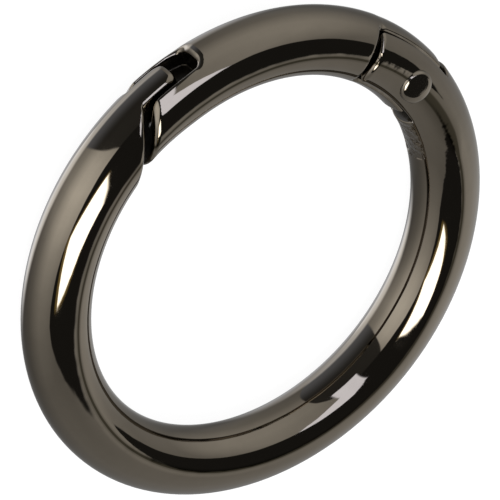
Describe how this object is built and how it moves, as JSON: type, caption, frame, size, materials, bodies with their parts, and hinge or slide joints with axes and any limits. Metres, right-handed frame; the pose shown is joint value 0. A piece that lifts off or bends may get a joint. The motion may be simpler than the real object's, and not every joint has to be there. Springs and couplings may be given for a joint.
{
  "type": "spring gate ring",
  "caption": "Round-bar snap ring whose sprung hinged gate opens inwards, to clip keys, straps and hooks onto a closed loop.",
  "frame": {"origin": "centre of the ring, on the plane that its lower flat land rests on", "axes": "+Z along the ring's axis towards the domed rivet head; the hinge is at -X, and the gate runs from there towards its latch on the -Y side"},
  "size_m": [0.038, 0.038, 0.0053],
  "materials": {
    "plated_zinc": "polished",
    "plated_rivet": "polished",
    "spring_wire": "satin"
  },
  "bodies": {
    "body": {"ring_body": "plated_zinc", "hinge_rivet": "plated_rivet", "torsion_spring": "spring_wire"},
    "gate": {"gate": "plated_zinc"}
  },
  "joints": [
    {"name": "gate_hinge", "type": "hinge", "parent": "body", "child": "gate", "pos_m": [-0.0165, 0, 0.0024], "axis": [0, 0, 1], "range_deg": [0, 40], "stiffness_Nm_per_rad": 0.03, "springref_deg": -45.84, "deforming": ["torsion_spring"]}
  ]
}
